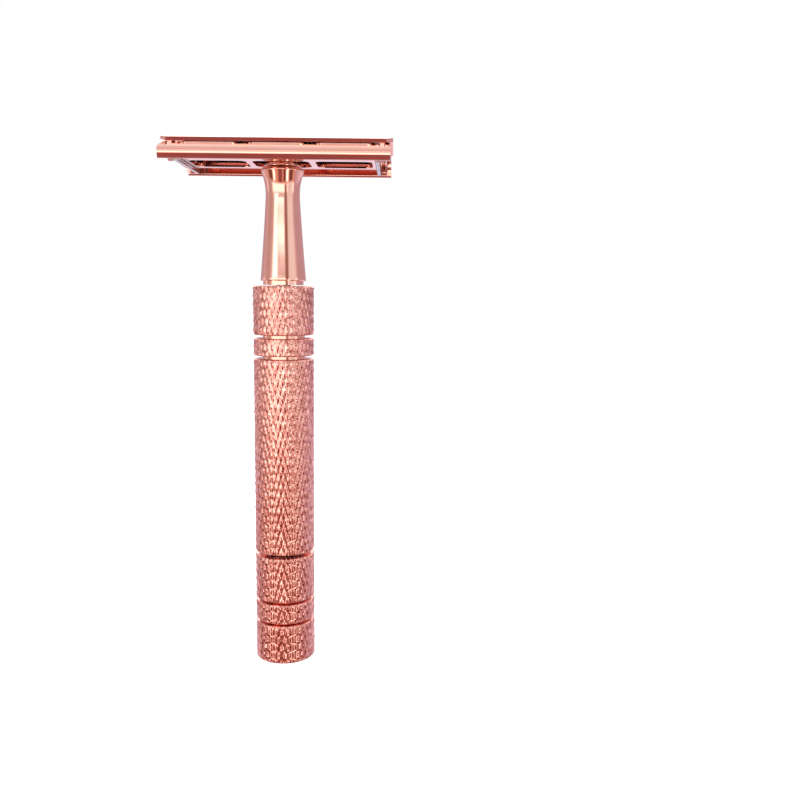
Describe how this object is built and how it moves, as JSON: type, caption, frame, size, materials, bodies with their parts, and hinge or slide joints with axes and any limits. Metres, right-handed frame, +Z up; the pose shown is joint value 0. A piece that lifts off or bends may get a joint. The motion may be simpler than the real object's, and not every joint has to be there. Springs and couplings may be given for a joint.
{
  "type": "safety razor",
  "caption": "Twist-to-open double-edge safety razor: slotted arched head with two curved doors, polished tapered neck and knurled handle with a twist knob.",
  "frame": {"origin": "centre of the knob's flat foot, on the handle's axis, where the razor stands", "axes": "+Z up along the handle to the head; X along the head's long edges; -Y faces the front door"},
  "size_m": [0.0428, 0.0246, 0.1039],
  "materials": {
    "polished_rose_gold": "polished rose gold plating",
    "knurled_rose_gold": "knurled, rose gold plating",
    "brass": "turned",
    "steel": "satin"
  },
  "bodies": {
    "handle": {"handle_barrel": "knurled_rose_gold", "barrel_bush": "brass", "wave_washer": "steel", "neck": "polished_rose_gold", "neck_collar": "polished_rose_gold", "guide_bush": "brass", "head_base": "polished_rose_gold", "end_cap_left": "polished_rose_gold", "end_cap_right": "polished_rose_gold", "front_left_pin": "steel", "front_right_pin": "steel", "rear_left_pin": "steel", "rear_right_pin": "steel"},
    "knob": {"twist_knob": "knurled_rose_gold", "knob_sleeve": "brass", "knob_plug": "polished_rose_gold", "retaining_ring": "steel"},
    "lift": {"lift_rod": "steel", "rod_stop": "steel", "lift_beam": "steel", "beam_nut": "steel", "lift_yoke_left": "steel", "lift_yoke_right": "steel"},
    "front_door": {"front_door": "polished_rose_gold"},
    "rear_door": {"rear_door": "polished_rose_gold"}
  },
  "joints": [
    {"name": "knob_turn", "type": "hinge", "parent": "handle", "child": "knob", "pos_m": [0, 0, 0.011], "axis": [0, 0, -1], "range_deg": [0, 540]},
    {"name": "lift_rise", "type": "slide", "parent": "handle", "child": "lift", "axis": [0, 0, 1], "range_m": [0, 0.00203]},
    {"name": "front_door_swing", "type": "hinge", "parent": "handle", "child": "front_door", "pos_m": [0, -0.0099, 0.09981], "axis": [1, 0, 0], "range_deg": [0, 72.1]},
    {"name": "rear_door_swing", "type": "hinge", "parent": "handle", "child": "rear_door", "pos_m": [0, 0.0099, 0.09981], "axis": [-1, 0, 0], "range_deg": [0, 72.1]}
  ],
  "couplings": [
    {"joint": "lift_rise", "follows": "knob_turn", "m_per_rad": 0.00021585},
    {"joint": "front_door_swing", "follows": "knob_turn", "ratio": 0.13333},
    {"joint": "rear_door_swing", "follows": "knob_turn", "ratio": 0.13333}
  ]
}
